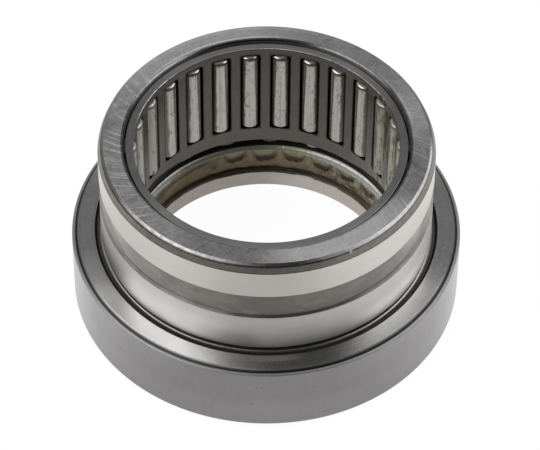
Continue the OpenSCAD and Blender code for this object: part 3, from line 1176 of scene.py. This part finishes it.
def zone_of_ring(r, z):
    """The finish of the outer ring where its section has this radius and height."""
    if r < RELIEF_R + 0.1 and flange_under + 0.1 < z < ring_top - 0.25:
        return oily_bore
    if z > ring_top - 0.06:
        return ground_face
    if z > LEAD_LOW + 0.04:
        return worn_chamfer if r > FACE_R - 0.1 else ground_face
    if z > flange_top + UNDERCUT_H - 0.02:
        return turned_groove if r < RING_R - 0.04 else ground_land
    if z < flange_top - 0.02 and r > flange_r - 0.6:
        return turned_face
    if z > flange_top - 0.03 and r > UNDERCUT_R - 0.05:
        return turned_face
    if z > flange_under + 0.2:
        return undercut_grime_and_shade
    return ground_land


def paint_zones(piece, zone):
    """Gives each face of a turned piece the finish of its zone."""
    mesh = piece.data
    mesh.materials.clear()
    slots = {}
    for face in mesh.polygons:
        finish = zone(face.center.xy.length / MM, face.center.z / MM)
        if finish not in slots:
            slots[finish] = len(slots)
            mesh.materials.append(finish)
        face.material_index = slots[finish]


def settle(piece, body, node):
    """Makes a finished piece stand for its node and ride on its body."""
    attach(piece, body)
    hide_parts(node)


ROUND_SEGMENTS = 288

OIL_HOLE_D = 2.5
OIL_HOLE_TURN = math.radians(97)
OIL_HOLE_SIDES = 40


def oil_drill():
    """The drill that opens the lubrication hole from the groove to the needles."""
    form = bmesh.new()
    length = RING_R - NEEDLE_TRACK + 2
    spot = Vector((NEEDLE_TRACK - 1 + length / 2, 0, GROOVE_MID)) * MM
    place = Matrix.Rotation(OIL_HOLE_TURN, 4, "Z") @ Matrix.Translation(spot)
    bmesh.ops.create_cone(
        form,
        cap_ends=True,
        segments=OIL_HOLE_SIDES,
        radius1=OIL_HOLE_D / 2 * MM,
        radius2=OIL_HOLE_D / 2 * MM,
        depth=length * MM,
        matrix=place @ Matrix.Rotation(math.pi / 2, 4, "Y"),
    )
    return form


STAKE_R = 0.4
STAKE_Z = ball_z - 1.55
STAKE_INSET = 0.05


def stake_domes():
    """The stakes that the cage's two walls hook under each ball with."""
    form = bmesh.new()
    gap = ball_cage_r1 - SHEET - ball_circle
    for node in balls:
        spot = middle(node)
        outwards = Vector((spot.x, spot.y, 0)).normalized()
        for r in (ball_circle - gap - STAKE_INSET, ball_circle + gap + STAKE_INSET):
            place = Matrix.Translation((outwards * r + Vector((0, 0, STAKE_Z))) * MM)
            bmesh.ops.create_uvsphere(
                form, u_segments=16, v_segments=10, radius=STAKE_R * MM, matrix=place
            )
    return form


ring = turned("ring_with_flange", ring_outline, ground_land, ROUND_SEGMENTS)
reshape(ring, oil_drill(), "DIFFERENCE")
paint_zones(ring, zone_of_ring)
settle(ring, "housing_side", "outer_ring")

cover = turned("pressed_cover", cover_outline, drawn_sheet, ROUND_SEGMENTS)
settle(cover, "housing_side", "cover")

washer = turned("washer_for_shaft", washer_outline, washer_steel, ROUND_SEGMENTS)
settle(washer, "shaft_washer", "shaft_washer")

values = {"Count": len(needles), "First Angle": needle_turn, "Material": dark_cage}
cage = grow("cage_of_needles", needle_cage_sector(), COPIES, values)
settle(cage, "needle_cage", "needle_cage")

values = {"Count": len(balls), "First Angle": ball_turn, "Material": greasy_sheet}
cage = grow("cage_of_balls", ball_cage_sector(), COPIES, values)
reshape(cage, stake_domes(), "UNION")
settle(cage, "ball_cage", "ball_cage")


ROLLER_SEGMENTS = 48


def settle_rollers(nodes, outline, finish, lifted):
    """Turns the rollers of a row at the origin and sets them in their places."""
    for node in nodes:
        piece = turned(node + "_polished", outline, finish, ROLLER_SEGMENTS, closed=False)
        spot = middle(node)
        place = Matrix.Translation(Vector((spot.x, spot.y, spot.z if lifted else 0)) * MM)
        piece.data.transform(place @ Matrix.Rotation(math.atan2(spot.y, spot.x), 4, "Z"))
        settle(piece, node, node)


settle_rollers(needles, needle_outline, needle_steel, lifted=False)
settle_rollers(balls, ball_outline, ball_steel, lifted=True)


# Floor, light and camera


FLOOR_SIZE = 6


def pale_floor():
    """White ground that shows a faint shadow to the camera; to metal it glows white, brighter
    towards the sides.
    """
    bpy.ops.mesh.primitive_plane_add(size=FLOOR_SIZE)
    floor = bpy.context.object
    floor.name = "pale_floor"
    material = bpy.data.materials.new("pale_floor")
    material.use_nodes = True
    f = Finish(material.node_tree)
    seen = f.rays("Camera", "Transmission")
    glossy = f.rays("Glossy")
    paper = f.add("ShaderNodeBsdfDiffuse", {"Color": (0.86, 0.86, 0.86, 1)})
    f.place()
    # Painted reflection: to glossy rays the floor glows brighter towards the sides.
    side = abs(f.x).ramp(14, 44)
    bright = seen * 1.04 + glossy * (0.74 + side * 0.5)
    glow = f.add("ShaderNodeEmission", {"Color": (1, 1, 1, 1), "Strength": bright})
    share = seen * 0.93 + glossy * 0.75
    shader = f.add("ShaderNodeMixShader", [share, paper, glow])
    f.add("ShaderNodeOutputMaterial", [shader])
    floor.data.materials.append(material)


def towards(azimuth, rise):
    """A direction by its degrees to the right of the front, and above the floor."""
    a, e = math.radians(azimuth), math.radians(rise)
    return Vector((math.sin(a) * math.cos(e), -math.cos(a) * math.cos(e), math.sin(e)))


ROOM_LEVEL = 0.48
FRONT_LEVEL = 0.08
DARK_AIM = (15, 30)
DARK_SPAN = (78, 35)


def studio():
    """An even grey room that is dark in front of the object, and white to the camera."""
    world = bpy.data.worlds.new("studio")
    bpy.context.scene.world = world
    world.use_nodes = True
    f = Finish(world.node_tree)
    direction = f.add("ShaderNodeTexCoord", output="Generated")
    sockets = [direction, towards(*DARK_AIM)]
    facing = f.add("ShaderNodeVectorMath", sockets, {"operation": "DOT_PRODUCT"}, "Value")
    wide, narrow = (math.cos(math.radians(degrees)) for degrees in DARK_SPAN)
    level = ROOM_LEVEL - facing.ramp(wide, narrow) * (ROOM_LEVEL - FRONT_LEVEL)
    seen = f.rays("Camera", "Transmission")
    strength = level * (1 - seen) + seen
    light = f.add("ShaderNodeBackground", {"Color": (1, 1, 1, 1), "Strength": strength})
    f.add("ShaderNodeOutputWorld", [light])


LAMP_AIM = Vector((0, 0, 0.015))


def softbox(name, azimuth, rise, distance, size, radiance):
    """A rectangular lamp that faces the object from a direction."""
    lamp = bpy.data.lights.new(name, "AREA")
    lamp.shape = "RECTANGLE"
    lamp.size, lamp.size_y = size
    lamp.energy = math.pi * radiance * size[0] * size[1]
    holder = in_scene(name, lamp)
    away = towards(azimuth, rise)
    holder.location = away * distance + LAMP_AIM
    holder.rotation_euler = (-away).to_track_quat("-Z", "Y").to_euler()


pale_floor()
studio()
softbox("left_box", -70, 47, 0.75, (0.7, 0.4), 2.7)
softbox("right_box", 100, 46, 0.75, (0.65, 0.4), 2.2)
softbox("top_box", 180, 72, 0.8, (0.3, 0.12), 3.5)

CAMERA_DISTANCE = 0.506080318
CAMERA_RISE = 47.578
CAMERA_CENTRE = 0.016
CAMERA_AIM = Vector((0.00060955, 0, 0.0127693))
CAMERA_ROLL = math.radians(0.5349)
FOCAL_PIXELS = 3225.789
FRAME_WIDTH = 540
SENSOR = 36.0


def set_camera():
    """The camera at the photograph's angle, distance and focal length."""
    data = bpy.data.cameras.new("camera")
    camera = in_scene("camera", data)
    data.sensor_width = SENSOR
    data.lens = FOCAL_PIXELS * SENSOR / FRAME_WIDTH
    data.clip_start = 0.01
    spot = Vector((0, 0, CAMERA_CENTRE)) + towards(0, CAMERA_RISE) * CAMERA_DISTANCE
    look = (CAMERA_AIM - spot).to_track_quat("-Z", "Y").to_matrix().to_4x4()
    camera.matrix_world = Matrix.Translation(spot) @ look @ Matrix.Rotation(CAMERA_ROLL, 4, "Z")
    bpy.context.scene.camera = camera


set_camera()
bpy.context.scene.view_settings.view_transform = "Standard"
